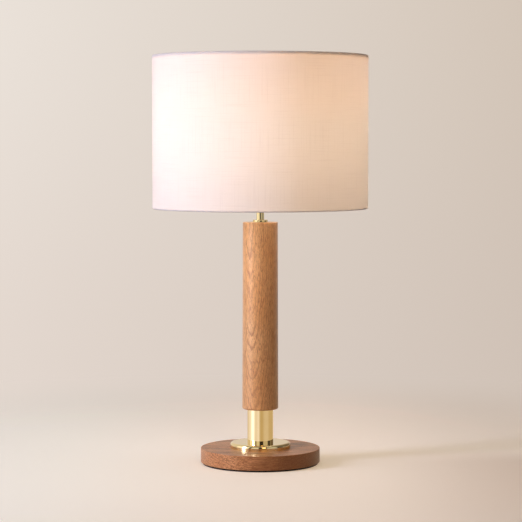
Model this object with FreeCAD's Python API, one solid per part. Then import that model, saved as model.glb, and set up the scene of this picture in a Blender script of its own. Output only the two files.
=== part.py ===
import FreeCAD, Part
import math
import os

from FreeCAD import Vector

# Column table lamp, in millimetres. The origin is the centre of the felt's underside.
# +Z is up and -Y is the front. The harp stands in the XZ plane, and the cord
# enters through the base's rear edge.

# Base
felt_radius = 96.0
felt_thickness = 3.2
base_radius = 98.9
base_thickness = 23.2
base_edge_round = 0.8
recess_radius = 69.5
recess_depth = 17.0
weight_gap = 0.5
weight_bore_radius = 22.0
weight_thickness = 12.0
cord_slot_width = 9.0
screw_count = 3
screw_circle_radius = 46.0
screw_shank_radius = 2.1
screw_head_radius = 4.2
screw_bite = 4.4
screw_clearance = 0.3
grommet_height = 12.0
grommet_bore_radius = 3.3
grommet_wall = 1.4
grommet_length = 12.0
grommet_flange_radius = 6.6
grommet_flange_thickness = 1.4

# Rod and its clamp
rod_radius = 4.85
rod_bore_radius = 3.4
rod_clearance = 0.15
rod_end_below_nut = 1.5
washer_radius = 12.7
washer_thickness = 1.6
nut_across_flats = 14.3
nut_thickness = 3.6

# Stem
flange_radius = 50.1
flange_height = 9.3
flange_edge_round = 4.6
flange_rim_width = 5.0
flange_web = 3.0
flange_boss_radius = 24.0
tube_radius = 21.6
tube_wall = 1.5
tube_length = 60.3
tube_fit = 0.1
spigot_height = 3.0
bush_flange = 1.0
bush_plug = 4.0
counterbore_depth = 6.0
column_bottom_radius = 29.9
column_top_radius = 29.0
column_length = 310.2
column_foot_round = 2.8
column_head_round = 1.0
column_bore_radius = 5.5
ring_radius = 12.4
ring_thickness = 4.3
ring_edge_round = 1.2
neck_radius = 6.45
neck_length = 13.5

# Harp and its saddle
saddle_thickness = 1.5
saddle_width = 12.0
saddle_eye_radius = 11.5
saddle_flat_half = 15.0
saddle_slope_rise = 5.0
saddle_rise = 8.0
saddle_bend = 3.0
post_width = 4.0
post_height = 11.0
post_clearance = 0.1
harp_size = 228.6
harp_foot_spacing = 57.0
harp_width = 110.0
harp_wire_radius = 1.6
harp_leg_bend = 60.0
harp_leg_straight = 46.0
harp_shoulder_bend = 46.0
foot_radius = 3.2
foot_length = 13.0
foot_taper = 4.0
eye_radius = 7.5
eye_thickness = 2.4
sleeve_fit = 0.07
sleeve_wall = 0.8
sleeve_length = 15.0
sleeve_lip = 0.5

# Swivelling stud and finial
stud_radius = 3.1
stud_collar_radius = 6.2
stud_collar_thickness = 2.0
stud_shank_radius = 2.05
stud_head_radius = 3.6
stud_head_thickness = 1.3
stud_reach = 8.6
running_clearance = 0.05
finial_height = 18.0
finial_foot_radius = 7.2
finial_foot_height = 2.6
finial_waist_radius = 4.6
finial_ball_radius = 6.4
finial_bore_spare = 1.0

# Shade
shade_radius = 177.8
shade_height = 252.4
cloth_thickness = 0.5
liner_thickness = 0.5
shade_wire_radius = 1.5
hem_turn_in = 11.0
hem_round = 1.2
spider_drop = 11.65
spider_bend = 6.0
spider_count = 3
arm_radius = 1.5
arm_inner_end = 8.5
arm_notch = 0.5
hub_radius = 13.5
hub_thickness = 1.6
hub_hole_clearance = 0.3

# Socket
cap_radius = 17.2
cap_wall = 0.8
cap_height = 20.0
cap_corner = 6.0
cap_hub_radius = 7.6
cap_hub_height = 6.5
set_screw_radius = 1.5
shell_wall = 0.6
shell_length = 42.0
shell_fit = 0.1
shell_lip = 0.8
liner_sleeve_wall = 0.7
insulator_height = 28.0
insulator_foot_radius = 10.5
insulator_hollow_radius = 7.0
insulator_hollow_depth = 8.0
screw_shell_bore = 13.4
screw_shell_wall = 0.5
screw_shell_length = 17.0
screw_shell_mouth = 8.5
contact_height = 3.2
contact_width = 6.0
contact_sheet = 0.6
contact_half_length = 5.0
terminal_radius = 2.4
terminal_length = 3.0
terminal_height = 6.0
knob_height = 26.5
shaft_radius = 2.0
shaft_bite = 8.0
shaft_window_clearance = 1.2
knob_radius = 5.6
knob_length = 14.0
knob_stand_off = 3.0
knob_edge_round = 1.0
flute_count = 8
flute_radius = 1.1

# Bulb
bulb_length = 108.0
bulb_radius = 30.2
bulb_neck_radius = 12.5
bulb_shoulder_round = 45.0
bulb_wall = 0.9
bulb_cap_radius = 13.1
bulb_cap_wall = 0.4
bulb_cap_length = 20.0
bulb_cap_taper = 2.0
bulb_neck_in_cap = 6.0
insulator_cone_height = 4.4
insulator_cone_top = 10.6
insulator_cone_foot = 5.0
tip_radius = 4.4
tip_height = 1.6

# Heights, stacked from the table up
base_low = felt_thickness
base_top = base_low + base_thickness
recess_top = base_low + recess_depth
weight_low = recess_top - weight_thickness
washer_low = recess_top - washer_thickness
nut_low = washer_low - nut_thickness
rod_low = nut_low - rod_end_below_nut
flange_top = base_top + flange_height
tube_top = flange_top + tube_length
column_low = tube_top + bush_flange - counterbore_depth
column_top = column_low + column_length
ring_top = column_top + ring_thickness
neck_top = ring_top + neck_length
saddle_top = neck_top + saddle_thickness
shoulder = saddle_top + saddle_rise
harp_top = shoulder + harp_size
hub_low = harp_top + running_clearance + stud_collar_thickness
hub_top = hub_low + hub_thickness
arm_level = hub_top + arm_radius
ring_level = arm_level + spider_drop
shade_top = ring_level + shade_wire_radius + cloth_thickness
shade_low = shade_top - shade_height
low_ring_level = shade_low + cloth_thickness + shade_wire_radius
cap_floor = saddle_top + cap_hub_height + cap_wall
rod_high = saddle_top + cap_hub_height + cap_wall
insulator_top = cap_floor + insulator_height
shell_low = cap_floor + cap_corner
shell_high = shell_low + shell_length
knob_level = saddle_top + knob_height
tip_low = insulator_top + contact_height
post_x = harp_foot_spacing / 2
ring_centre = shade_radius - cloth_thickness - liner_thickness - shade_wire_radius


def corner_arc(before, here, after, radius):
    """Start, middle and end of the arc that rounds one corner."""
    back = (before - here).normalize()
    ahead = (after - here).normalize()
    half = back.getAngle(ahead) / 2
    reach = radius / math.tan(half)
    centre = here + (back + ahead).normalize() * (radius / math.sin(half))
    middle = centre + (here - centre).normalize() * radius
    return here + back * reach, middle, here + ahead * reach


def rounded_wire(corners, closed):
    """Wire in the XZ plane through (x, z) or (x, z, round) corners."""
    points = [Vector(corner[0], 0, corner[1]) for corner in corners]
    last = len(corners) - 1
    stops = []
    for i, corner in enumerate(corners):
        inside = closed or 0 < i < last
        if len(corner) == 3 and inside:
            after = points[(i + 1) % len(points)]
            stops.append(corner_arc(points[i - 1], points[i], after, corner[2]))
        else:
            stops.append((points[i], None, points[i]))
    edges = []
    for i, (start, middle, end) in enumerate(stops):
        if middle is not None:
            edges.append(Part.Arc(start, middle, end).toShape())
        if closed or i < last:
            following = stops[(i + 1) % len(stops)][0]
            if end.distanceToPoint(following) > 1e-6:
                edges.append(Part.LineSegment(end, following).toShape())
    return Part.Wire(edges)


def turned(corners):
    """Solid of revolution about Z from a closed (radius, z) outline."""
    face = Part.Face(rounded_wire(corners, True))
    return face.revolve(Vector(0, 0, 0), Vector(0, 0, 1), 360)


def disc(radius, low, high, x=0.0, y=0.0):
    return Part.makeCylinder(radius, high - low, Vector(x, y, low))


def pipe(outer, inner, low, high):
    return disc(outer, low, high).cut(disc(inner, low, high))


def front_rod(radius, near, far, z):
    """Cylinder along -Y from near to far, both counted towards the front."""
    return Part.makeCylinder(radius, far - near, Vector(0, -near, z), Vector(0, -1, 0))


def box(x_low, x_high, y_low, y_high, z_low, z_high):
    corner = Vector(x_low, y_low, z_low)
    return Part.makeBox(x_high - x_low, y_high - y_low, z_high - z_low, corner)


def around(shape, count, first_degrees=90.0):
    """Copies of a shape made on +X, spaced evenly about Z."""
    copies = []
    for i in range(count):
        turn = first_degrees + 360.0 * i / count
        copies.append(shape.rotated(Vector(0, 0, 0), Vector(0, 0, 1), turn))
    return copies


def mirrored(shape):
    return shape.mirror(Vector(0, 0, 0), Vector(1, 0, 0))


def bent_wire(corners, radius):
    """Round wire swept along rounded corners in the XZ plane."""
    spine = rounded_wire(corners, False)
    start = spine.OrderedVertexes[0].Point
    ahead = spine.OrderedEdges[0].tangentAt(spine.OrderedEdges[0].FirstParameter)
    section = Part.Wire(Part.Circle(start, ahead, radius).toShape())
    return spine.makePipeShell([section], True, True)


def bent_strip(corners, width, thickness):
    """Flat strip of the given width, bent along rounded corners in the XZ plane."""
    spine = rounded_wire(corners, False)
    half = thickness / 2
    upper = spine.makeOffset2D(half, 0, False, True)
    lower = spine.makeOffset2D(-half, 0, False, True)
    ends = []
    for index in (0, -1):
        start = upper.OrderedVertexes[index].Point
        end = lower.OrderedVertexes[index].Point
        ends.append(Part.LineSegment(start, end).toShape())
    edges = upper.Edges + lower.Edges + ends
    outline = Part.Wire(Part.__sortEdges__(edges))
    strip = Part.Face(outline).extrude(Vector(0, width, 0))
    return strip.translated(Vector(0, -width / 2, 0))


# Base

def felt_pad():
    return disc(felt_radius, 0, felt_thickness)


def screw_places(shape):
    """The shape once for each weight screw."""
    moved = shape.translated(Vector(screw_circle_radius, 0, 0))
    return around(moved, screw_count, -90.0)


def base_disc():
    bore = rod_radius + rod_clearance
    body = turned([
        (bore, recess_top),
        (recess_radius, recess_top),
        (recess_radius, base_low),
        (base_radius, base_low, base_edge_round),
        (base_radius, base_top, base_edge_round),
        (bore, base_top),
    ])
    cord_hole = front_rod(grommet_bore_radius + grommet_wall, -base_radius - 1,
                          -recess_radius + 1, grommet_height)
    pilots = screw_places(disc(screw_shank_radius, recess_top, recess_top + screw_bite))
    return body.cut([cord_hole] + pilots)


def base_weight():
    outer = recess_radius - weight_gap
    body = pipe(outer, weight_bore_radius, weight_low, recess_top)
    half = cord_slot_width / 2
    slot = box(-half, half, 0, outer + 1, weight_low, recess_top)
    hole = turned([
        (0, weight_low),
        (screw_head_radius + screw_clearance, weight_low),
        (screw_shank_radius + screw_clearance, weight_low + screw_head_radius - screw_shank_radius),
        (screw_shank_radius + screw_clearance, recess_top),
        (0, recess_top),
    ])
    return body.cut([slot] + screw_places(hole))


def weight_screws():
    head = screw_head_radius - screw_shank_radius
    screw = turned([
        (0, weight_low),
        (screw_head_radius, weight_low),
        (screw_shank_radius, weight_low + head),
        (screw_shank_radius, recess_top + screw_bite),
        (0, recess_top + screw_bite),
    ])
    return Part.makeCompound(screw_places(screw))


def cord_grommet():
    """Flanged bush, turned upright and then laid along +Y in the base's edge."""
    outer = grommet_bore_radius + grommet_wall
    seat = math.sqrt(base_radius ** 2 - grommet_flange_radius ** 2)
    face = base_radius + grommet_flange_thickness
    bush = turned([
        (grommet_bore_radius, base_radius - grommet_length),
        (outer, base_radius - grommet_length),
        (outer, seat),
        (grommet_flange_radius, seat),
        (grommet_flange_radius, face, grommet_flange_thickness / 2),
        (grommet_bore_radius, face),
    ])
    laid = bush.rotated(Vector(0, 0, 0), Vector(1, 0, 0), -90)
    laid = laid.translated(Vector(0, 0, grommet_height))
    stem = front_rod(outer, -face - 1, -base_radius + grommet_length + 1, grommet_height)
    rim = disc(base_radius, base_low, base_top).cut(stem)
    return laid.cut(rim)


# Rod

def threaded_rod():
    return pipe(rod_radius, rod_bore_radius, rod_low, rod_high)


def rod_washer():
    return pipe(washer_radius, rod_radius + rod_clearance, washer_low, recess_top)


def rod_nut():
    corner = nut_across_flats / 2 / math.cos(math.pi / 6)
    points = []
    for i in range(7):
        turn = math.pi / 3 * i
        points.append(Vector(corner * math.cos(turn), corner * math.sin(turn), nut_low))
    block = Part.Face(Part.makePolygon(points)).extrude(Vector(0, 0, nut_thickness))
    return block.cut(disc(rod_radius + running_clearance, nut_low, washer_low))


# Stem

def flange_plate():
    bore = rod_radius + rod_clearance
    spigot = tube_radius - tube_wall - tube_fit
    return turned([
        (bore, base_top),
        (flange_boss_radius, base_top),
        (flange_boss_radius, flange_top - flange_web),
        (flange_radius - flange_rim_width, flange_top - flange_web),
        (flange_radius - flange_rim_width, base_top),
        (flange_radius, base_top),
        (flange_radius, flange_top, flange_edge_round),
        (spigot, flange_top),
        (spigot, flange_top + spigot_height),
        (bore, flange_top + spigot_height),
    ])


def brass_tube():
    return pipe(tube_radius, tube_radius - tube_wall, flange_top, tube_top)


def tube_bush():
    bore = rod_radius + rod_clearance
    plug = tube_radius - tube_wall - tube_fit
    return turned([
        (bore, tube_top - bush_plug),
        (plug, tube_top - bush_plug),
        (plug, tube_top),
        (tube_radius, tube_top),
        (tube_radius, tube_top + bush_flange),
        (bore, tube_top + bush_flange),
    ])


def wood_column():
    mouth = tube_radius + tube_fit
    return turned([
        (mouth, column_low),
        (column_bottom_radius, column_low, column_foot_round),
        (column_top_radius, column_top, column_head_round),
        (column_bore_radius, column_top),
        (column_bore_radius, column_low + counterbore_depth),
        (mouth, column_low + counterbore_depth),
    ])


def check_ring():
    bore = rod_radius + rod_clearance
    return turned([
        (bore, column_top),
        (ring_radius, column_top),
        (ring_radius, ring_top, ring_edge_round),
        (bore, ring_top),
    ])


def neck_tube():
    return pipe(neck_radius, rod_radius + rod_clearance, ring_top, neck_top)


# Harp

def harp_saddle():
    middle = neck_top + saddle_thickness / 2
    right = [
        (saddle_flat_half, middle, saddle_bend),
        (post_x, middle + saddle_slope_rise, saddle_bend),
        (post_x, shoulder),
    ]
    left = [(-corner[0],) + corner[1:] for corner in reversed(right)]
    strip = bent_strip(left + right, saddle_width, saddle_thickness)
    eye = disc(saddle_eye_radius, neck_top, saddle_top)
    posts = []
    for x in (-post_x, post_x):
        half = saddle_thickness / 2
        posts.append(box(x - half, x + half, -post_width / 2, post_width / 2,
                         shoulder - saddle_thickness, shoulder + post_height))
    body = strip.fuse([eye] + posts).removeSplitter()
    return body.cut(disc(rod_radius + rod_clearance, neck_top, saddle_top))


def harp_corners():
    """Right half of the harp's centre line: leg, leaning side, shoulder, eye."""
    level = harp_top - eye_thickness / 2
    knee_z = shoulder + foot_length + harp_leg_straight
    centre_x = harp_width / 2 - harp_wire_radius - harp_shoulder_bend
    centre_z = level - harp_shoulder_bend
    across = centre_x - post_x
    up = centre_z - knee_z
    lean = math.atan2(across, up) + math.asin(harp_shoulder_bend / math.hypot(across, up))
    shoulder_x = post_x + (level - knee_z) * math.tan(lean)
    return [
        (post_x, shoulder + foot_length),
        (post_x, knee_z, harp_leg_bend),
        (shoulder_x, level, harp_shoulder_bend),
        (eye_radius - harp_wire_radius, level),
    ]


def harp_foot():
    """Swaged foot of the right leg, with the slot that takes the saddle's post."""
    top = shoulder + foot_length
    foot = turned([
        (0, shoulder),
        (foot_radius, shoulder),
        (foot_radius, top - foot_taper),
        (harp_wire_radius, top),
        (0, top),
    ]).translated(Vector(post_x, 0, 0))
    half_x = saddle_thickness / 2 + post_clearance
    half_y = post_width / 2 + post_clearance
    slot = box(post_x - half_x, post_x + half_x, -half_y, half_y,
               shoulder, shoulder + post_height + post_clearance)
    return foot.cut(slot)


def harp_wire():
    side = bent_wire(harp_corners(), harp_wire_radius).fuse(harp_foot())
    eye = disc(eye_radius, harp_top - eye_thickness, harp_top)
    loop = eye.fuse([side, mirrored(side)])
    bore = stud_shank_radius + running_clearance
    room = stud_collar_radius + running_clearance
    hole = disc(bore, harp_top - eye_thickness, harp_top)
    seat = disc(room, harp_top, harp_top + harp_wire_radius)
    under = disc(stud_head_radius + running_clearance, harp_top - eye_thickness - harp_wire_radius,
                 harp_top - eye_thickness)
    return loop.cut([hole, seat, under])


def harp_sleeve(x):
    bore = foot_radius + sleeve_fit
    top = shoulder + sleeve_length
    sleeve = turned([
        (bore, shoulder),
        (bore + sleeve_wall, shoulder),
        (bore + sleeve_wall, top, sleeve_lip),
        (bore, top),
    ])
    return sleeve.translated(Vector(x, 0, 0))


def harp_stud():
    collar_low = harp_top + running_clearance
    head_top = harp_top - eye_thickness - running_clearance
    return turned([
        (0, head_top - stud_head_thickness),
        (stud_head_radius, head_top - stud_head_thickness),
        (stud_head_radius, head_top),
        (stud_shank_radius, head_top),
        (stud_shank_radius, collar_low),
        (stud_collar_radius, collar_low),
        (stud_collar_radius, hub_low),
        (stud_radius, hub_low),
        (stud_radius, hub_top + stud_reach),
        (0, hub_top + stud_reach),
    ])


def finial():
    """Turned cap: foot, waist and ball, with a blind hole for the stud."""
    top = hub_top + finial_height
    ball_centre = top - finial_ball_radius
    neck_drop = math.sqrt(finial_ball_radius ** 2 - finial_waist_radius ** 2)
    body = turned([
        (0, hub_top),
        (finial_foot_radius, hub_top),
        (finial_foot_radius, hub_top + finial_foot_height, finial_foot_height / 2),
        (finial_waist_radius, hub_top + finial_foot_height),
        (finial_waist_radius, ball_centre - neck_drop),
        (0, ball_centre - neck_drop),
    ])
    ball = Part.makeSphere(finial_ball_radius, Vector(0, 0, ball_centre))
    hole = disc(stud_radius + running_clearance, hub_top, hub_top + stud_reach + finial_bore_spare)
    return body.fuse(ball).cut(hole)


# Shade

def shade_fabric():
    """Cloth drum whose edges roll over the wire rings and turn in behind them."""
    outer = shade_radius
    inner = shade_radius - cloth_thickness
    lip_outer = ring_centre - shade_wire_radius
    lip_inner = lip_outer - cloth_thickness
    drum = turned([
        (outer, shade_low, hem_round),
        (outer, shade_top, hem_round),
        (lip_inner, shade_top, hem_round),
        (lip_inner, shade_top - hem_turn_in),
        (lip_outer, shade_top - hem_turn_in),
        (lip_outer, shade_top - cloth_thickness),
        (inner, shade_top - cloth_thickness),
        (inner, shade_low + cloth_thickness),
        (lip_outer, shade_low + cloth_thickness),
        (lip_outer, shade_low + hem_turn_in),
        (lip_inner, shade_low + hem_turn_in),
        (lip_inner, shade_low, hem_round),
    ])
    half = arm_radius + arm_notch
    notch = box(lip_inner - 2 * arm_radius, lip_outer, -half, half,
                shade_top - hem_turn_in - 1, ring_level + half)
    return drum.cut(around(notch, spider_count))


def shade_liner():
    outer = shade_radius - cloth_thickness
    return pipe(outer, outer - liner_thickness, low_ring_level, ring_level)


def shade_ring(level):
    return Part.makeTorus(ring_centre, shade_wire_radius, Vector(0, 0, level))


def spider_arms():
    upright = ring_centre - shade_wire_radius - arm_radius
    arm = bent_wire([
        (upright, ring_level),
        (upright, arm_level, spider_bend),
        (arm_inner_end, arm_level),
    ], arm_radius)
    return Part.makeCompound(around(arm, spider_count))


def spider_hub():
    return pipe(hub_radius, stud_radius + hub_hole_clearance, hub_low, hub_top)


# Socket

def socket_cap():
    bore = rod_radius + running_clearance
    floor = saddle_top + cap_hub_height
    rim = saddle_top + cap_height
    cap = turned([
        (bore, saddle_top),
        (cap_hub_radius, saddle_top),
        (cap_hub_radius, floor),
        (cap_radius, floor, cap_corner),
        (cap_radius, rim),
        (cap_radius - cap_wall, rim),
        (cap_radius - cap_wall, cap_floor, cap_corner - cap_wall),
        (bore, cap_floor),
    ])
    tapping = front_rod(set_screw_radius, -cap_hub_radius - 1, -rod_radius,
                        saddle_top + cap_hub_height / 2)
    return cap.cut(tapping)


def cap_set_screw():
    screw = front_rod(set_screw_radius, -cap_hub_radius, -rod_radius - running_clearance,
                      saddle_top + cap_hub_height / 2)
    return screw


def shaft_window(radius, inside, outside):
    return front_rod(radius, inside, outside, knob_level)


def socket_shell():
    outer = cap_radius - cap_wall - shell_fit
    inner = outer - shell_wall
    shell = turned([
        (outer, shell_low),
        (outer, shell_high, shell_lip),
        (inner - shell_lip, shell_high),
        (inner - shell_lip, shell_high - shell_wall),
        (inner, shell_high - shell_wall),
        (inner, shell_low),
    ])
    return shell.cut(shaft_window(shaft_radius + shaft_window_clearance, 0, outer + 1))


def liner_radius():
    return cap_radius - cap_wall - shell_fit - shell_wall - shell_fit


def socket_liner():
    outer = liner_radius()
    inner = outer - liner_sleeve_wall
    sleeve = pipe(outer, inner, shell_low, shell_high - shell_wall)
    return sleeve.cut(shaft_window(shaft_radius + shaft_window_clearance, 0, outer + 1))


def socket_body():
    radius = liner_radius() - liner_sleeve_wall - shell_fit
    chamfer = radius - insulator_foot_radius
    body = turned([
        (0, cap_floor + insulator_hollow_depth),
        (insulator_hollow_radius, cap_floor + insulator_hollow_depth),
        (insulator_hollow_radius, cap_floor),
        (insulator_foot_radius, cap_floor),
        (radius, cap_floor + chamfer),
        (radius, insulator_top),
        (0, insulator_top),
    ])
    bore = shaft_window(shaft_radius + running_clearance, radius - shaft_bite, radius + 1)
    level = cap_floor + insulator_hollow_depth + terminal_height
    seats = []
    for x, way in ((radius, -1), (-radius, 1)):
        seats.append(Part.makeCylinder(terminal_radius, terminal_length,
                                       Vector(x, 0, level), Vector(way, 0, 0)))
    return body.cut([bore] + seats)


def terminal_screws():
    radius = liner_radius() - liner_sleeve_wall - shell_fit
    level = cap_floor + insulator_hollow_depth + terminal_height
    screws = []
    for way in (-1, 1):
        start = Vector(way * (radius - terminal_length), 0, level)
        length = terminal_length - terminal_radius ** 2 / radius
        screws.append(Part.makeCylinder(terminal_radius, length, start, Vector(way, 0, 0)))
    return Part.makeCompound(screws)


def screw_shell():
    outer = screw_shell_bore + screw_shell_wall
    top = insulator_top + screw_shell_length
    return turned([
        (screw_shell_mouth, insulator_top),
        (outer, insulator_top),
        (outer, top),
        (screw_shell_bore, top),
        (screw_shell_bore, insulator_top + screw_shell_wall),
        (screw_shell_mouth, insulator_top + screw_shell_wall),
    ])


def centre_contact():
    """Spring tongue under the bulb's tip."""
    low = insulator_top + contact_sheet / 2
    high = tip_low - contact_sheet / 2
    reach = contact_half_length
    return bent_strip([
        (-reach, low),
        (reach, low, contact_sheet),
        (-reach / 2, high, contact_sheet),
        (reach / 2, high),
    ], contact_width, contact_sheet)


def knob_near():
    return cap_radius + knob_stand_off


def switch_shaft():
    body_radius = liner_radius() - liner_sleeve_wall - shell_fit
    near = body_radius - shaft_bite + running_clearance
    return front_rod(shaft_radius, near, knob_near() + knob_length / 2, knob_level)


def switch_knob():
    """Fluted turning knob on the front of the socket."""
    knob = turned([
        (0, 0),
        (knob_radius, 0, knob_edge_round),
        (knob_radius, knob_length, knob_edge_round),
        (0, knob_length),
    ])
    flute = disc(flute_radius, -1, knob_length + 1, knob_radius + flute_radius / 2)
    knob = knob.cut(around(flute, flute_count))
    knob = knob.cut(disc(shaft_radius, 0, knob_length / 2))
    laid = knob.rotated(Vector(0, 0, 0), Vector(1, 0, 0), 90)
    return laid.translated(Vector(0, -knob_near(), knob_level))


# Bulb

def bulb_glass():
    """Pear-shaped envelope: ball, hollow shoulder and straight neck."""
    cap_top = tip_low + tip_height + insulator_cone_height + bulb_cap_length
    neck_low = cap_top - bulb_neck_in_cap
    ball_z = tip_low + bulb_length - bulb_radius
    shoulder_x = bulb_neck_radius + bulb_shoulder_round
    reach = bulb_radius + bulb_shoulder_round
    shoulder_z = ball_z - math.sqrt(reach ** 2 - shoulder_x ** 2)
    meet = math.atan2(ball_z - shoulder_z, shoulder_x)

    def skin(inset):
        """Neck, shoulder and ball edges of one surface, from the neck's end to the top."""
        ball = bulb_radius - inset
        bend = bulb_shoulder_round + inset
        neck = bulb_neck_radius - inset
        join = Vector(ball * math.cos(meet), 0, ball_z - ball * math.sin(meet))
        half = math.pi - meet / 2
        bend_mid = Vector(shoulder_x + bend * math.cos(half), 0, shoulder_z + bend * math.sin(half))
        side = (math.pi / 2 - meet) / 2
        ball_mid = Vector(ball * math.cos(side), 0, ball_z + ball * math.sin(side))
        neck_end = Vector(neck, 0, neck_low)
        neck_top = Vector(neck, 0, shoulder_z)
        crown = Vector(0, 0, ball_z + ball)
        return [
            Part.LineSegment(neck_end, neck_top).toShape(),
            Part.Arc(neck_top, bend_mid, join).toShape(),
            Part.Arc(join, ball_mid, crown).toShape(),
        ], neck_end, crown

    outer, outer_end, outer_crown = skin(0)
    inner, inner_end, inner_crown = skin(bulb_wall)
    caps = [
        Part.LineSegment(outer_crown, inner_crown).toShape(),
        Part.LineSegment(outer_end, inner_end).toShape(),
    ]
    outline = Part.Wire(Part.__sortEdges__(outer + inner + caps))
    return Part.Face(outline).revolve(Vector(0, 0, 0), Vector(0, 0, 1), 360)


def bulb_cap():
    low = tip_low + tip_height + insulator_cone_height
    top = low + bulb_cap_length
    inner = bulb_cap_radius - bulb_cap_wall
    return turned([
        (insulator_cone_top, low),
        (bulb_cap_radius, low + bulb_cap_taper),
        (bulb_cap_radius, top),
        (inner, top),
        (inner, low + bulb_cap_taper + bulb_cap_wall),
        (insulator_cone_top - bulb_cap_wall, low + bulb_cap_wall),
        (insulator_cone_top - bulb_cap_wall, low),
    ])


def bulb_insulator():
    low = tip_low + tip_height
    return turned([
        (0, low),
        (insulator_cone_foot, low),
        (insulator_cone_top, low + insulator_cone_height),
        (0, low + insulator_cone_height),
    ])


def bulb_tip():
    return turned([
        (0, tip_low),
        (tip_radius, tip_low, tip_height / 2),
        (tip_radius, tip_low + tip_height),
        (0, tip_low + tip_height),
    ])


pieces = {
    "felt_pad": felt_pad,
    "base_disc": base_disc,
    "base_weight": base_weight,
    "weight_screws": weight_screws,
    "cord_grommet": cord_grommet,
    "threaded_rod": threaded_rod,
    "rod_washer": rod_washer,
    "rod_nut": rod_nut,
    "flange_plate": flange_plate,
    "brass_tube": brass_tube,
    "tube_bush": tube_bush,
    "wood_column": wood_column,
    "check_ring": check_ring,
    "neck_tube": neck_tube,
    "harp_saddle": harp_saddle,
    "harp_wire": harp_wire,
    "harp_sleeve_left": lambda: harp_sleeve(-post_x),
    "harp_sleeve_right": lambda: harp_sleeve(post_x),
    "harp_stud": harp_stud,
    "finial": finial,
    "shade_fabric": shade_fabric,
    "shade_liner": shade_liner,
    "shade_top_ring": lambda: shade_ring(ring_level),
    "shade_bottom_ring": lambda: shade_ring(low_ring_level),
    "spider_arms": spider_arms,
    "spider_hub": spider_hub,
    "socket_cap": socket_cap,
    "cap_set_screw": cap_set_screw,
    "socket_shell": socket_shell,
    "socket_liner": socket_liner,
    "socket_body": socket_body,
    "terminal_screws": terminal_screws,
    "screw_shell": screw_shell,
    "centre_contact": centre_contact,
    "switch_shaft": switch_shaft,
    "switch_knob": switch_knob,
    "bulb_glass": bulb_glass,
    "bulb_cap": bulb_cap,
    "bulb_insulator": bulb_insulator,
    "bulb_tip": bulb_tip,
}

os.makedirs("parts", exist_ok=True)
for node, make in pieces.items():
    make().exportStep("parts/" + node + ".step")
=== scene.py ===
import math

import bpy
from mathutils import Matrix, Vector


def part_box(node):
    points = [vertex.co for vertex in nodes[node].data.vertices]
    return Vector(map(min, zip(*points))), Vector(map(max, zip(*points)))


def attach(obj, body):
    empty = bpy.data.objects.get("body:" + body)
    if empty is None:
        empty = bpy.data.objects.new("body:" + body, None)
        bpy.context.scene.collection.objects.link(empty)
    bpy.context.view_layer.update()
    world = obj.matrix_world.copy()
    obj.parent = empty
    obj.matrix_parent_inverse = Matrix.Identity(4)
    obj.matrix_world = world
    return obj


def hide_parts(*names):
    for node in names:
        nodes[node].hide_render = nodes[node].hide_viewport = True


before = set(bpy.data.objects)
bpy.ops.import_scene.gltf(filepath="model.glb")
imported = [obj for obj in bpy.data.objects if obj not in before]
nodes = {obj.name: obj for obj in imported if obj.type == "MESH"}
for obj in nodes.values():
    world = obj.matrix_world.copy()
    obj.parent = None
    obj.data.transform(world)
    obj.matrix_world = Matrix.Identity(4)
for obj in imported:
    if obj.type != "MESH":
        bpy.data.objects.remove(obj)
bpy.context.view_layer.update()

# Column table lamp, dressed around its CAD frame. Metres, +Z up, -Y towards the camera.
# Materials are procedural and work in millimetres, in each piece's own coordinates. Colours are linear.

MM = 0.001
METRE = 1000.0  # in the materials' millimetres

# Camera, fitted to the photograph
camera_place = (0.0012, -3.3025, 0.5396)
camera_pitch_deg = 3.5126
camera_lens = 137.87
camera_sensor = 36.0
camera_reach = 100.0

# Backdrop: painted light and shade, paler to the left and a little darker just above the table. The table's
# fade into it is worked out as seen from the centre.
wall_left = (0.822, 0.753, 0.690)
wall_right = (0.654, 0.562, 0.481)
wall_low_left = (0.768, 0.680, 0.618)
wall_low_right = (0.632, 0.541, 0.472)
wall_gain = 3.9
wall_rise = (-0.12, 0.07)
wall_centre = (0.0, -3.3, 0.54)

# Light that the room itself gives to surfaces, weak below and a little stronger above
fill_colour = (1.0, 0.96, 0.92)
fill_rise = (0.2, 0.9)
fill_strength = (0.02, 0.14)

# Table, and painted light on it: a glow over what the lights give it, less to the right and more behind the
# lamp, over its shadow. Spans of place are in millimetres, and distances from the lamp in metres.
table_radius = 40.0
table_steps = 96
# Paper colour, painted darker to the right as painted shade.
table_left = (0.74, 0.75, 0.80)
table_right = (0.64, 0.60, 0.60)
table_fleck = (0.30, 0.25, 0.21)
table_span = (-500.0, 500.0)
painted_light_left = (0.42, 0.37, 0.27)
painted_light_middle = (0.43, 0.33, 0.22)
painted_light_right = (0.25, 0.17, 0.09)
painted_light_behind_middle = (0.465, 0.358, 0.25)
painted_light_behind_right = (0.36, 0.285, 0.20)
painted_light_left_span = (-400.0, 0.0)
painted_light_right_span = (90.0, 480.0)
painted_light_behind_span = (0.0, 160.0)
table_fade = (0.42, 1.25)

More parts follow.
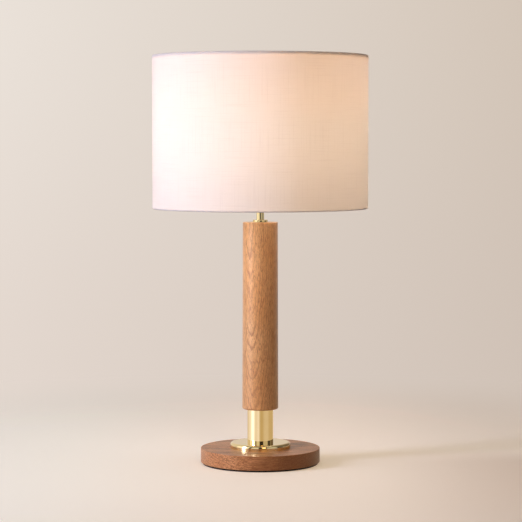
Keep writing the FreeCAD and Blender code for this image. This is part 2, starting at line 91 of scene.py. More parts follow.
# What polished brass sees around it, as (degrees round the lamp, brightness) stops. The room is on the
# camera's side, and the backdrop behind the lamp dims to the right.
room_bands = [
    (-180, 0.6), (-119, 0.6), (-114, 0.02), (-106, 0.02), (-101, 1.0), (-48, 1.0), (-44, 0.08),
    (-37, 0.08), (-33, 0.6), (-9, 0.6), (-4, 0.01), (24, 0.01), (29, 0.45), (66, 0.45),
    (72, 0.04), (98, 0.04), (106, 0.4), (180, 0.5)]
room_dark = (0.03, 0.022, 0.015)
room_bright = (1.35, 1.30, 1.25)
room_ceiling = (0.30, 0.27, 0.23)
room_ceiling_rise = (0.55, 0.85)
room_front = (0.35, 0.15)
dim_wall = (0.12, 0.09, 0.07)
dim_wall_span = (0.12, 0.50)
dim_wall_share = 0.9
far_table_bands = [
    (-180, 0.30), (-145, 0.15), (-120, 0.34), (-95, 0.46), (-76, 0.98), (-62, 1.0), (-50, 0.50),
    (-40, 0.30), (-14, 0.44), (-7, 0.22), (0, 0.04), (15, 0.0), (40, 0.14), (65, 0.15), (85, 0.05),
    (120, 0.02), (145, 0.08), (180, 0.25)]
far_table_dark = (0.60, 0.46, 0.27)
far_table_bright = (1.60, 1.60, 1.95)
far_table_start = (0.13, 0.24)
far_table_end = (1.0, 1.8)

# Lights
light_aim = (0.0, 0.0, 0.30)
light_distance = 5.0
bulb_ball_drop = 22.0 * MM
bulb_ball_radius = 18.0 * MM
bulb_crown_drop = 12.0 * MM
bulb_crown_width = 36.0 * MM
bulb_ball_power = 1.76
bulb_ball_colour = (1.0, 0.94, 0.80)
bulb_crown_power = 0.40
bulb_crown_colour = (1.0, 0.48, 0.12)

# Shade cloth
cloth_thickness = 0.5 * MM
cloth_overlap = 10.0 * MM
cloth_steps_round = 300
cloth_steps_high = 40
hem_steps = 8
upper_lip = 8.0 * MM
lower_lip = 4.5 * MM
upper_turn_in = 3.0 * MM
lower_turn_in = 1.0 * MM
lip_lean = 0.1 * MM
hem_depth = 2.6 * MM
lap_lift = 1.1 * cloth_thickness
cloth_ripple = 0.05 * MM
cloth_ripples_round = (17, 5)
cloth_ripple_climb = 90.0

# Felt
felt_rounding = 0.7 * MM
felt_fuzz = 0.25 * MM
felt_fuzz_reach = 3.0 * MM
felt_tufts_round = (23, 7)
felt_steps_round = 180
felt_steps_flat = 23
felt_steps_edge = 5


# Node graphs

class Graph:
    """A node tree that is built by short calls. Each call returns its node's output socket."""

    def __init__(self, tree):
        self.tree = tree
        tree.nodes.clear()

    def node(self, kind, inputs, output=0, **settings):
        made = self.tree.nodes.new(kind)
        for name, value in settings.items():
            setattr(made, name, value)
        for key, value in inputs.items():
            self.feed(made.inputs[key], value)
        return made.outputs[output]

    def feed(self, socket, value):
        if isinstance(value, bpy.types.NodeSocket):
            self.tree.links.new(value, socket)
        elif socket.type == "RGBA":
            socket.default_value = (*value, 1.0)
        else:
            socket.default_value = value

    def math(self, operation, *values):
        return self.node("ShaderNodeMath", dict(enumerate(values)), operation=operation)

    def plus(self, first, second):
        return self.math("ADD", first, second)

    def minus(self, first, second):
        return self.math("SUBTRACT", first, second)

    def times(self, first, second):
        return self.math("MULTIPLY", first, second)

    def vector(self, operation, *values):
        return self.node("ShaderNodeVectorMath", dict(enumerate(values)), operation=operation)

    def stretched(self, vector, x, y, z):
        return self.vector("MULTIPLY", vector, (x, y, z))

    def length(self, vector):
        return self.node("ShaderNodeVectorMath", {0: vector}, "Value", operation="LENGTH")

    def split(self, vector):
        made = self.tree.nodes.new("ShaderNodeSeparateXYZ")
        self.feed(made.inputs[0], vector)
        return made.outputs[0], made.outputs[1], made.outputs[2]

    def join(self, x, y, z):
        return self.node("ShaderNodeCombineXYZ", {0: x, 1: y, 2: z})

    def range(self, value, low, high, to_low=0.0, to_high=1.0, smooth=True):
        kind = "SMOOTHSTEP" if smooth else "LINEAR"
        inputs = {"Value": value, "From Min": low, "From Max": high, "To Min": to_low, "To Max": to_high}
        return self.node("ShaderNodeMapRange", inputs, interpolation_type=kind)

    def mix(self, factor, first, second):
        """A colour between first and second. Sockets 6 and 7 are the node's two colours."""
        return self.node("ShaderNodeMix", {0: factor, 6: first, 7: second}, 2, data_type="RGBA")

    def blend(self, factor, first, second):
        """A plain number between first and second. Sockets 2 and 3 are the node's two numbers."""
        return self.node("ShaderNodeMix", {0: factor, 2: first, 3: second}, 0, data_type="FLOAT")

    def noise(self, vector, scale, detail=2.0, roughness=0.5, distortion=0.0):
        inputs = {"Vector": vector, "Scale": scale, "Detail": detail, "Roughness": roughness,
                  "Distortion": distortion}
        return self.node("ShaderNodeTexNoise", inputs)

    def swing(self, noise, size):
        """Noise moved to go both ways from zero, over this size in all."""
        return self.times(self.minus(noise, 0.5), size)

    def azimuth(self, direction):
        """Angle round the lamp in degrees, 0 towards the camera's side and negative to its left."""
        x, y, z = self.split(direction)
        return self.math("DEGREES", self.math("ARCTAN2", x, self.times(y, -1.0)))

    def bands(self, angle, stops):
        """Brightness by angle, from -180 to 180, through (angle, brightness) stops."""
        made = self.tree.nodes.new("ShaderNodeValToRGB")
        self.feed(made.inputs[0], self.range(angle, -180.0, 180.0, smooth=False))
        elements = made.color_ramp.elements
        while len(elements) < len(stops):
            elements.new(1.0)
        for element, (place, value) in zip(elements, stops):
            element.position = (place + 180.0) / 360.0
            element.color = (value, value, value, 1.0)
        return made.outputs[0]

    def bump(self, height, distance, strength):
        return self.node("ShaderNodeBump", {"Height": height, "Distance": distance, "Strength": strength})

    def millimetres(self):
        """The piece's own coordinates, in millimetres."""
        place = self.tree.nodes.new("ShaderNodeTexCoord").outputs["Object"]
        return self.node("ShaderNodeVectorMath", {0: place, "Scale": METRE}, operation="SCALE")

    def principled(self, **inputs):
        named = {key.replace("_", " "): value for key, value in inputs.items()}
        return self.node("ShaderNodeBsdfPrincipled", named)

    def layered(self, share, first, second):
        """One shader over another, by share."""
        return self.node("ShaderNodeMixShader", {0: share, 1: first, 2: second})

    def surface(self, shader):
        target = self.tree.nodes.new("ShaderNodeOutputMaterial")
        self.tree.links.new(shader, target.inputs["Surface"])


def new_material(name):
    material = bpy.data.materials.new(name)
    material.use_nodes = True
    return material, Graph(material.node_tree)


def finished(graph, **inputs):
    graph.surface(graph.principled(**inputs))


def shaded(tint, share):
    """The same tint, darker."""
    return [channel * share for channel in tint]


def dress(material, *names):
    """Puts one material on the named CAD nodes."""
    for name in names:
        slots = nodes[name].data.materials
        slots.clear()
        slots.append(material)


# Wood. Scales are (across, along) the log, in waves per millimetre. Spans say where a mark begins and is
# full, as a share of the year or a value of the noise. Shares say how much of its colour a mark gets.

bend_scale = (0.016, 0.006)
wobble_scale = (0.16, 0.034)
cloud_scale = (0.03, 0.012)
streak_scale = (0.42, 0.011)
dash_scale = (0.95, 0.036)
fibre_scale = (1.1, 0.016)
hair_scale = (4.5, 0.07)
pore_scale = (1.7, 0.085)
year_scale = 0.73
year_seed = (3.7, 1.3)
late_growth = (0.58, 0.92)
late_end = (1.0, 0.95)
cloud_span = (0.3, 0.7)
year_span = (0.3, 0.7)
streak_span = (0.48, 0.68)
dash_span = (0.56, 0.62)
dash_tint = (1.0, 0.72, 0.85)
fibre_span = (0.42, 0.72)
hair_span = (0.35, 0.65)
pore_span = (0.57, 0.70)
faint_year_share = 0.45
fibre_share = 0.55
hair_share = 0.16
pore_share = 0.8
pores_lost_late = 0.75
heart_and_shade_fade_mm = 1.0
hair_relief = 0.35
fibre_relief = 0.65
pore_relief = 1.4
pore_roughness = 0.2
hair_roughness = (-0.05, 0.06)
varnish_tint = (1.0, 0.70, 0.46)
varnish_roughness = 0.33


def along_log(graph, log, scale, detail, roughness=0.5, distortion=0.0):
    """Noise stretched along the log."""
    place = graph.stretched(log, scale[0], scale[0], scale[1])
    return graph.noise(place, 1.0, detail, roughness, distortion)


def log_place(graph, along, pith, tilt):
    """Millimetres across the log, two ways from its leaning pith, and along it."""
    x, y, z = graph.split(graph.millimetres())
    across, other, length = (x, y, z) if along == "Z" else (y, z, x)
    across = graph.minus(across, pith[0])
    other = graph.minus(graph.minus(other, pith[1]), graph.times(length, tilt))
    return graph.join(across, other, length)


def yearly_rings(graph, log, sway, ripple, ring_width):
    """Share of dark late growth within each year, and a tone that differs from year to year."""
    spread = graph.length(graph.stretched(log, 1.0, 1.0, 0.0))
    drift = graph.swing(along_log(graph, log, bend_scale, detail=2.0), sway)
    wobble = graph.swing(along_log(graph, log, wobble_scale, detail=4.0, roughness=0.6), ripple)
    years = graph.math("DIVIDE", graph.plus(graph.plus(spread, drift), wobble), ring_width)
    phase = graph.math("FRACT", years)
    late = graph.times(graph.range(phase, *late_growth), graph.range(phase, *late_end))
    year = graph.math("FLOOR", years)
    tone = graph.noise(graph.join(year, *year_seed), year_scale, detail=0.0)
    return late, tone


def heartwood_and_painted_shade(graph, span, share, top):
    """Darker heartwood and painted shade that come in along x; below the top face only, where a top is
    given.
    """
    x, y, z = graph.split(graph.millimetres())
    side = graph.range(x, *span, 0.0, share)
    if top is None:
        return side
    return graph.times(side, graph.range(z, top + heart_and_shade_fade_mm, top))


def wood(name, along, pith, tilt, sway, ripple, ring_width, ring_contrast, streaks, dashes,
         heart_and_shade_span, heart_and_shade_share, heart_and_shade_top, pale, warm, dark, pore_colour, rough, shine, coat):
    """Ring-porous wood under thin varnish: yearly rings, clouds, streaks, dashes, fibres and pores."""
    material, g = new_material(name)
    log = log_place(g, along, pith, tilt)
    late, year_tone = yearly_rings(g, log, sway, ripple, ring_width)
    year_share = g.range(year_tone, *year_span, faint_year_share * ring_contrast, ring_contrast)
    cloud = along_log(g, log, cloud_scale, detail=3.0)
    streak = along_log(g, log, streak_scale, detail=3.0, roughness=0.6, distortion=0.3)
    dash = g.range(along_log(g, log, dash_scale, detail=1.0), *dash_span)
    fibre = along_log(g, log, fibre_scale, detail=4.0, roughness=0.6)
    hair = along_log(g, log, hair_scale, detail=3.0, roughness=0.6)
    pore = g.range(along_log(g, log, pore_scale, detail=2.0, roughness=0.55), *pore_span)
    pore = g.times(pore, g.minus(1.0, g.times(late, pores_lost_late)))

    dash_colour = [channel * share for channel, share in zip(dark, dash_tint)]
    colour = g.mix(g.range(cloud, *cloud_span), pale, warm)
    colour = g.mix(g.times(late, year_share), colour, dark)
    colour = g.mix(g.range(streak, *streak_span, 0.0, streaks), colour, dark)
    colour = g.mix(g.range(fibre, *fibre_span, 0.0, fibre_share), colour, dark)
    colour = g.mix(g.times(dash, dashes), colour, dash_colour)
    # Heartwood and painted shade: darker towards +x.
    colour = g.mix(heartwood_and_painted_shade(g, heart_and_shade_span, heart_and_shade_share, heart_and_shade_top), colour, dark)
    colour = g.mix(g.range(hair, *hair_span, hair_share, 0.0), colour, pale)
    colour = g.mix(g.times(pore, pore_share), colour, pore_colour)

    grain = g.plus(g.times(hair, hair_relief), g.times(fibre, fibre_relief))
    relief = g.minus(grain, g.times(pore, pore_relief))
    smooth, coarse = hair_roughness
    roughness = g.range(hair, 0.3, 0.7, rough + smooth, rough + coarse)
    roughness = g.plus(roughness, g.times(pore, pore_roughness))
    finished(g, Base_Color=colour, Roughness=roughness, IOR=1.5, Specular_IOR_Level=shine,
             Specular_Tint=varnish_tint, Coat_Weight=coat, Coat_Roughness=varnish_roughness,
             Coat_IOR=1.5, Normal=g.bump(relief, distance=0.05 * MM, strength=0.6))
    return material


def column_oak():
    """Honey oak, its fibres up the column, a little darker to the right: part heartwood, part painted
    shade.
    """
    return wood("column_oak", along="Z", pith=(-30.0, -85.0), tilt=0.13, sway=8.0, ripple=3.0,
                ring_width=3.4, ring_contrast=0.85, streaks=0.22, dashes=0.66,
                heart_and_shade_span=(-10.0, 14.0), heart_and_shade_share=0.34, heart_and_shade_top=None,
                pale=(0.93, 0.53, 0.235), warm=(0.86, 0.43, 0.160), dark=(0.36, 0.125, 0.036),
                pore_colour=(0.18, 0.055, 0.020), rough=0.36, shine=1.0, coat=0.25)


def base_walnut():
    """Red-brown walnut, its fibres across the base, darker to the right of its rim: part heartwood, mostly
    painted shade.
    """
    return wood("base_walnut", along="X", pith=(40.0, -150.0), tilt=0.02, sway=14.0, ripple=2.4,
                ring_width=5.0, ring_contrast=0.60, streaks=0.70, dashes=0.70,
                heart_and_shade_span=(-80.0, 50.0), heart_and_shade_share=0.80, heart_and_shade_top=25.5,
                pale=(0.87, 0.41, 0.172), warm=(0.69, 0.28, 0.104), dark=(0.19, 0.062, 0.020),
                pore_colour=(0.10, 0.034, 0.012), rough=0.38, shine=0.5, coat=0.1)


# Metals

bright_brass = (0.90, 0.73, 0.40)
socket_brass = (0.86, 0.68, 0.36)
thread_depth_share = 0.9


def brass(name, rough, tint=bright_brass):
    """Polished and lacquered: faint turning marks, hairline scratches and cloudy handling marks."""
    material, g = new_material(name)
    place = g.millimetres()
    x, y, z = g.split(place)
    radius = g.length(g.join(x, y, 0.0))
    turning = g.noise(g.join(radius, z, 0.0), 9.0)
    scratch = g.noise(g.stretched(place, 0.35, 0.35, 7.0), 1.0, detail=3.0, roughness=0.7)
    cloud = g.noise(place, 0.045, detail=3.0)
    worn = g.noise(place, 0.4, detail=4.0, roughness=0.65)
    colour = g.mix(g.range(cloud, 0.3, 0.75, to_high=0.35), tint, shaded(tint, 0.90))
    handled = g.range(worn, 0.45, 0.75, to_high=0.05)
    scratched = g.range(scratch, 0.55, 0.75, to_high=0.04)
    roughness = g.plus(g.plus(handled, scratched), rough)
    height = g.plus(turning, g.times(scratch, 0.5))
    finished(g, Base_Color=colour, Metallic=1.0, Roughness=roughness,
             Normal=g.bump(height, distance=0.0016 * MM, strength=0.35))
    return material


def steel(name, tint, rough, thread_pitch=None):
    """Plated metal, brushed by handling; a rod or shell can carry a thread."""
    material, g = new_material(name)
    place = g.millimetres()
    x, y, z = g.split(place)
    patch = g.noise(place, 0.12, detail=4.0, roughness=0.6)
    grain = g.noise(g.stretched(place, 3.0, 3.0, 0.5), 1.0, detail=3.0)
    colour = g.mix(g.range(patch, 0.35, 0.7), tint, shaded(tint, 0.72))
    roughness = g.range(grain, 0.3, 0.7, rough - 0.06, rough + 0.10)
    if thread_pitch is None:
        normal = g.bump(grain, distance=0.01 * MM, strength=0.5)
    else:
        turn = g.math("DIVIDE", g.math("ARCTAN2", y, x), math.tau)
        climb = g.math("FRACT", g.plus(g.math("DIVIDE", z, thread_pitch), turn))
        flank = g.math("PINGPONG", climb, 0.5)
        normal = g.bump(flank, distance=thread_pitch * MM * thread_depth_share, strength=1.0)
    finished(g, Base_Color=colour, Metallic=1.0, Roughness=roughness, Normal=normal)
    return material


def cast_iron():
    """Rough casting under thin black paint, with brown dust in its pits."""
    paint = (0.035, 0.034, 0.033)
    worn_paint = (0.085, 0.080, 0.074)
    dust = (0.16, 0.10, 0.06)
    material, g = new_material("ballast_iron")
    place = g.millimetres()
    lumps = g.noise(place, 0.55, detail=5.0, roughness=0.65)
    pits = g.range(g.noise(place, 1.6, detail=3.0), 0.6, 0.75)
    colour = g.mix(g.range(lumps, 0.35, 0.7), paint, worn_paint)
    colour = g.mix(g.times(pits, 0.5), colour, dust)
    relief = g.minus(lumps, g.times(pits, 0.4))
    finished(g, Base_Color=colour, Roughness=g.range(lumps, 0.3, 0.7, to_low=0.5, to_high=0.75),
             Normal=g.bump(relief, distance=0.5 * MM, strength=0.6))
    return material


def white_wire():
    """Powder-coated wire: slightly orange-peeled white, a little grey where it rubs."""
    white = (0.78, 0.77, 0.74)
    rubbed = (0.55, 0.53, 0.50)
    material, g = new_material("white_wire_coat")
    place = g.millimetres()
    peel = g.noise(place, 1.1)
    rub = g.noise(place, 0.07, detail=4.0, roughness=0.6)
    colour = g.mix(g.range(rub, 0.55, 0.75, to_high=0.5), white, rubbed)
    finished(g, Base_Color=colour, Roughness=g.range(peel, 0.3, 0.7, to_low=0.32, to_high=0.46), IOR=1.5,
             Normal=g.bump(peel, distance=0.06 * MM, strength=0.5))
    return material


# Moulded and sheet plastics

def moulded(name, base, lighter, rough):
    """Moulded plastic or black glass, with a fine grain and slightly uneven colour."""
    material, g = new_material(name)
    place = g.millimetres()
    flow = g.noise(place, 0.09, detail=4.0, roughness=0.6, distortion=0.6)
    grain = g.noise(place, 1.2, detail=4.0, roughness=0.6)
    colour = g.mix(g.range(flow, 0.3, 0.75), base, lighter)
    roughness = g.range(grain, 0.3, 0.7, rough - 0.07, rough + 0.08)
    finished(g, Base_Color=colour, Roughness=roughness, IOR=1.5,
             Normal=g.bump(grain, distance=0.04 * MM, strength=0.5))
    return material


def vulcanised_fibre():
    """Pressed insulating card: fibres and dark flecks."""
    pale = (0.36, 0.33, 0.28)
    grey = (0.20, 0.18, 0.15)
    fleck = (0.07, 0.06, 0.05)
    material, g = new_material("fibre_card")
    place = g.millimetres()
    stretched = g.stretched(place, 1.2, 1.2, 0.25)
    fibres = g.noise(stretched, 1.0, detail=5.0, roughness=0.7, distortion=1.5)
    flecks = g.range(g.noise(place, 2.4), 0.62, 0.72)
    colour = g.mix(fibres, pale, grey)
    colour = g.mix(g.times(flecks, 0.5), colour, fleck)
    finished(g, Base_Color=colour, Roughness=0.78,
             Normal=g.bump(fibres, distance=0.08 * MM, strength=0.6))
    return material


def liner_plastic():
    """Warm white backing sheet: faint calender lines, mottling and a soft sheen."""
    pale = (0.42, 0.40, 0.37)
    mottled = (0.36, 0.34, 0.31)
    material, g = new_material("shade_backing_sheet")
    place = g.millimetres()
    x, y, z = g.split(place)
    lines = g.noise(g.join(0.0, 0.0, z), 1.6, detail=3.0)
    mottle = g.noise(place, 0.05, detail=5.0, roughness=0.6)
    colour = g.mix(g.range(mottle, 0.3, 0.7), pale, mottled)
    relief = g.plus(g.times(lines, 0.4), mottle)
    finished(g, Base_Color=colour, Roughness=g.range(lines, 0.3, 0.7, to_low=0.38, to_high=0.5), IOR=1.5,
             Normal=g.bump(relief, distance=0.05 * MM, strength=0.4))
    return material


# Glass

def glowing_glass():
    """Frosted envelope, lit from within: brightest at the ball, dull at the neck."""
    neck_height = 24.0
    ball_height = 58.0
    neck_glow = (1.0, 0.62, 0.34)
    ball_glow = (1.0, 0.80, 0.56)
    frosted = (0.86, 0.84, 0.80)
    clearer = (0.80, 0.77, 0.72)
    material, g = new_material("lit_bulb_glass")
    place = g.millimetres()
    x, y, z = g.split(place)
    frost = g.noise(place, 0.8, detail=4.0, roughness=0.6)
    low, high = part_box("bulb_glass")
    foot = low.z / MM
    rise = g.range(z, foot + neck_height, foot + ball_height, to_low=0.25)
    power = g.times(rise, g.range(frost, 0.2, 0.8, to_low=2.5, to_high=3.0))
    finished(g, Base_Color=g.mix(frost, frosted, clearer), Roughness=0.35, IOR=1.5,
             Emission_Color=g.mix(rise, neck_glow, ball_glow), Emission_Strength=power,
             Normal=g.bump(frost, distance=0.03 * MM, strength=0.4))
    material.cycles.emission_sampling = "NONE"
    return material


# Cloth. Yarn sizes are in millimetres.

yarn_pitch = 0.72
yarn_wander = 0.9
yarn_roundness = 0.6
light_through_share = 0.26


def crossing_threads(graph, run, z, place):
    """1 on a thread's crown and 0 between threads; warp and weft take turns on top."""
    wander = graph.swing(graph.noise(place, 0.12, detail=3.0), yarn_wander)
    stray = graph.swing(graph.noise(place, 0.10, detail=3.0, distortion=0.5), yarn_wander)
    per_yarn = math.pi / yarn_pitch
    warp_wave = graph.math("SINE", graph.times(graph.plus(run, wander), per_yarn))
    weft_wave = graph.math("SINE", graph.times(graph.plus(z, stray), per_yarn))
    over = graph.range(graph.times(warp_wave, weft_wave), -0.25, 0.25)
    warp_top = graph.math("POWER", graph.math("ABSOLUTE", warp_wave), yarn_roundness)
    weft_top = graph.math("POWER", graph.math("ABSOLUTE", weft_wave), yarn_roundness)
    return graph.blend(over, weft_top, warp_top)


def slubs(graph, run, z, run_scale, z_scale, layer):
    """Thicker lengths of thread, in streaks one way over the cloth."""
    place = graph.join(graph.times(run, run_scale), graph.times(z, z_scale), layer)
    return graph.range(graph.noise(place, 1.0), 0.5, 0.78)


def shade_cloth():
    """Plain linen weave round a drum: slubbed threads, a little uneven in density, lit through."""
    hollow = (0.82, 0.81, 0.815)
    crown = (0.93, 0.92, 0.93)
    thick = (0.75, 0.73, 0.72)
    cloudy = (0.82, 0.79, 0.77)
    through_hollow = (1.0, 0.80, 0.66)
    through_crown = (0.94, 0.72, 0.56)
    through_thick = (0.66, 0.46, 0.34)
    material, g = new_material("shade_linen")
    x, y, z = g.split(g.millimetres())
    cad_low, cad_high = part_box("shade_fabric")
    turn = g.math("ARCTAN2", x, g.times(y, -1.0))
    run = g.times(turn, cad_high.x / MM)
    place = g.join(run, z, 0.0)
    weave = crossing_threads(g, run, z, place)
    warp_slub = slubs(g, run, z, run_scale=0.85, z_scale=0.012, layer=4.0)
    weft_slub = slubs(g, run, z, run_scale=0.014, z_scale=0.85, layer=9.0)
    slub = g.plus(warp_slub, weft_slub)
    cloud = g.noise(place, 0.02, detail=4.0, roughness=0.55)

    colour = g.mix(weave, hollow, crown)
    colour = g.mix(g.times(slub, 0.22), colour, thick)
    colour = g.mix(g.range(cloud, 0.3, 0.7, to_high=0.12), colour, cloudy)
    through = g.mix(weave, through_hollow, through_crown)
    through = g.mix(g.times(slub, 0.35), through, through_thick)
    normal = g.bump(g.plus(weave, g.times(slub, 0.7)), distance=0.10 * MM, strength=0.8)
    front = g.principled(Base_Color=colour, Roughness=0.88, IOR=1.4, Sheen_Weight=0.25,
                         Sheen_Roughness=0.5, Normal=normal)
    back = g.node("ShaderNodeBsdfTranslucent", {"Color": through, "Normal": normal})
    g.surface(g.layered(light_through_share, front, back))
    return material


def felt():
    """Pressed dark felt: matted fibres and lint."""
    dark = (0.012, 0.008, 0.006)
    brown = (0.034, 0.024, 0.017)
    lint_colour = (0.17, 0.14, 0.12)
    material, g = new_material("felt_pile")
    place = g.millimetres()
    matted = g.noise(place, 1.3, detail=5.0, roughness=0.75, distortion=2.2)
    strands = g.noise(g.stretched(place, 0.9, 2.6, 1.7), 1.0, roughness=0.6, distortion=3.0)
    lint = g.range(strands, 0.66, 0.74)
    colour = g.mix(matted, dark, brown)
    colour = g.mix(g.times(lint, 0.3), colour, lint_colour)
    finished(g, Base_Color=colour, Roughness=0.95, Sheen_Weight=0.04, Sheen_Roughness=0.6,
             Normal=g.bump(matted, distance=0.4 * MM, strength=0.8))
    return material


# Mesh pieces

def mesh_piece(name, vertices, faces, material, smooth=True):
    mesh = bpy.data.meshes.new(name)
    mesh.from_pydata(vertices, [], faces)
    mesh.validate()
    mesh.update()
    mesh.materials.append(material)
    if smooth:
        mesh.shade_smooth()
    piece = bpy.data.objects.new(name, mesh)
    bpy.context.scene.collection.objects.link(piece)
    return piece


def grid_faces(rows, columns):
    """Quads over rows of points, numbered row by row."""
    faces = []
    for i in range(rows - 1):
        for j in range(columns - 1):
            here = i * columns + j
            following = here + columns
            faces.append((here, following, following + 1, here + 1))
    return faces


def fan_faces(centre, start, steps):
    """Triangles from a centre point to a ring of points, by their numbers."""
    return [(centre, start + j, start + (j + 1) % steps) for j in range(steps)]


def band_faces(first, second, steps):
    """Quads between two rings of points, by the number of each ring's first point."""
    faces = []
    for j in range(steps):
        following = (j + 1) % steps
        faces.append((first + j, second + j, second + following, first + following))
    return faces


def arc(centre, half_width, half_height, start_deg, end_deg, steps):
    """Points along part of an ellipse, both ends included."""
    points = []
    for i in range(steps + 1):
        angle = math.radians(start_deg + (end_deg - start_deg) * i / steps)
        points.append((centre[0] + half_width * math.cos(angle),
                       centre[1] + half_height * math.sin(angle)))
    return points


def cloth_profile():
    """(radius, height) of the cloth from its lower turned-in lip, round both wires, to the upper lip."""
    low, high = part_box("shade_fabric")
    wire_low, wire_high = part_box("shade_top_ring")
    wire = (wire_high.z - wire_low.z) / 2
    centre = wire_high.x - wire
    roll_width = high.x - centre
    roll_height = wire + cloth_thickness
    inner = centre - roll_height
    top = high.z - roll_height
    bottom = low.z + roll_height
    lip = inner - lip_lean
    lower = [(lip, low.z + lower_lip), (inner, bottom + lower_turn_in)]
    lower += arc((centre, bottom), roll_height, roll_height, 180, 270, hem_steps)
    lower += arc((centre, bottom), roll_width, roll_height, 270, 360, hem_steps)[1:]
    wall = []
    for i in range(1, cloth_steps_high):
        wall.append((high.x, bottom + (top - bottom) * i / cloth_steps_high))
    upper = arc((centre, top), roll_width, roll_height, 0, 90, hem_steps)
    upper += arc((centre, top), roll_height, roll_height, 90, 180, hem_steps)[1:]
    upper += [(inner, top - upper_turn_in), (lip, high.z - upper_lip)]
    return lower + wall + upper


def shade_sheet(material):
    """One length of cloth round the wires; its end laps over its start at the rear."""
    profile = cloth_profile()
    radius = max(r for r, z in profile)
    lap = cloth_overlap / radius
    whole = math.tau + lap
    rise = lap / 2
    quick, slow = cloth_ripples_round
    vertices = []
    for i in range(cloth_steps_round + 1):
        gone = whole * i / cloth_steps_round
        angle = math.pi / 2 + lap / 2 - gone
        raised = lap_lift * min(1.0, max(0.0, (gone - math.tau + rise) / rise))
        for r, z in profile:
            side = 1.0 if r > radius - hem_depth else -1.0
            ripple = math.sin(quick * angle + cloth_ripple_climb * z) * math.sin(slow * angle)
            out = r + side * raised + cloth_ripple * ripple
            vertices.append((out * math.cos(angle), out * math.sin(angle), z))
    faces = grid_faces(cloth_steps_round + 1, len(profile))
    piece = mesh_piece("shade_cloth", vertices, faces, material)
    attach(piece, "shade")
    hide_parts("shade_fabric")


def felt_rings(radius, low, high):
    """(radius, height) of each ring of points, from the top's middle round the edge to the underside's."""
    edge = min(felt_rounding, (high - low) / 2)
    flat = radius - edge
    rings = []
    for i in range(1, felt_steps_flat + 1):
        rings.append((flat * i / felt_steps_flat, high))
    rings += arc((flat, high - edge), edge, edge, 90, 0, felt_steps_edge)[1:]
    rings += arc((flat, low + edge), edge, edge, 0, -90, felt_steps_edge)
    for i in range(felt_steps_flat - 1, 0, -1):
        rings.append((flat * i / felt_steps_flat, low))
    return rings


def felt_disc(material):
    """Felt disc with a rounded, slightly fuzzy edge."""
    low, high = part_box("felt_pad")
    radius = high.x
    rings = felt_rings(radius, low.z, high.z)
    steps = felt_steps_round
    quick, slow = felt_tufts_round
    vertices = [(0.0, 0.0, high.z)]
    for r, z in rings:
        for j in range(steps):
            angle = math.tau * j / steps
            fuzz = felt_fuzz * math.sin(quick * angle) * math.sin(slow * angle + 1.0)
            share = max(0.0, (r - radius + felt_fuzz_reach) / felt_fuzz_reach)
            out = r - abs(fuzz) * share
            vertices.append((out * math.cos(angle), out * math.sin(angle), z))
    vertices.append((0.0, 0.0, low.z))
    faces = fan_faces(0, 1, steps)
    for i in range(len(rings) - 1):
        faces += band_faces(1 + i * steps, 1 + (i + 1) * steps, steps)
    last_ring = 1 + (len(rings) - 1) * steps
    for face in fan_faces(len(vertices) - 1, last_ring, steps):
        faces.append(face[::-1])
    piece = mesh_piece("felt_sheet", vertices, faces, material)
    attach(piece, "stand")
    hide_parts("felt_pad")


# Studio

def make_camera():
    data = bpy.data.cameras.new("camera")
    data.lens = camera_lens
    data.sensor_width = camera_sensor
    data.clip_end = camera_reach
    camera = bpy.data.objects.new("camera", data)
    camera.location = camera_place
    camera.rotation_euler = (math.radians(90 - camera_pitch_deg), 0, 0)
    bpy.context.scene.collection.objects.link(camera)
    bpy.context.scene.camera = camera


def seen_directly(graph, path):
    """1 for camera, mirror and glass rays, which show the backdrop; 0 for the light on surfaces."""
    shown = graph.math("MAXIMUM", path.outputs["Is Camera Ray"], path.outputs["Is Glossy Ray"])
    return graph.math("MAXIMUM", shown, path.outputs["Is Transmission Ray"])


def wall_colour(graph, direction):
    """Backdrop colour by where a ray goes in the world: painted paler to the left and darker low down, as
    painted light and shade.
    """
    x, y, z = graph.split(direction)
    share = graph.range(graph.math("MULTIPLY_ADD", x, wall_gain, 0.5), 0.0, 1.0, smooth=False)
    low = graph.mix(share, wall_low_left, wall_low_right)
    high = graph.mix(share, wall_left, wall_right)
    return graph.mix(graph.range(z, *wall_rise), low, high)


def room_colour(graph, direction):
    """What polished metal sees round the camera's side: windows and screens between dark gaps."""
    light = graph.bands(graph.azimuth(direction), room_bands)
    return graph.mix(light, room_dark, room_bright)


def far_table_colour(graph, place):
    """The table some way off, as upright polished metal sees it."""
    light = graph.bands(graph.azimuth(place), far_table_bands)
    return graph.mix(light, far_table_dark, far_table_bright)


def make_world():
    """Backdrop for what is seen, a banded room for what brass mirrors, and a weak fill for the rest."""
    world = bpy.data.worlds.new("studio")
    bpy.context.scene.world = world
    world.use_nodes = True
    g = Graph(world.node_tree)
    direction = g.tree.nodes.new("ShaderNodeTexCoord").outputs["Generated"]
    path = g.tree.nodes.new("ShaderNodeLightPath")
    x, y, z = g.split(direction)
    wall = wall_colour(g, direction)
    room = g.mix(g.range(z, *room_ceiling_rise), room_colour(g, direction), room_ceiling)
    dimmed = g.mix(g.range(x, *dim_wall_span, 0.0, dim_wall_share), wall, dim_wall)
    mirrored = g.mix(g.range(y, *room_front), dimmed, room)
    shown = g.mix(path.outputs["Is Glossy Ray"], wall, mirrored)
    direct = seen_directly(g, path)
    colour = g.mix(direct, fill_colour, shown)
    strength = g.blend(direct, g.range(z, *fill_rise, *fill_strength), 1.0)
    background = g.node("ShaderNodeBackground", {"Color": colour, "Strength": strength})
    target = g.tree.nodes.new("ShaderNodeOutputWorld")
    g.tree.links.new(background, target.inputs["Surface"])


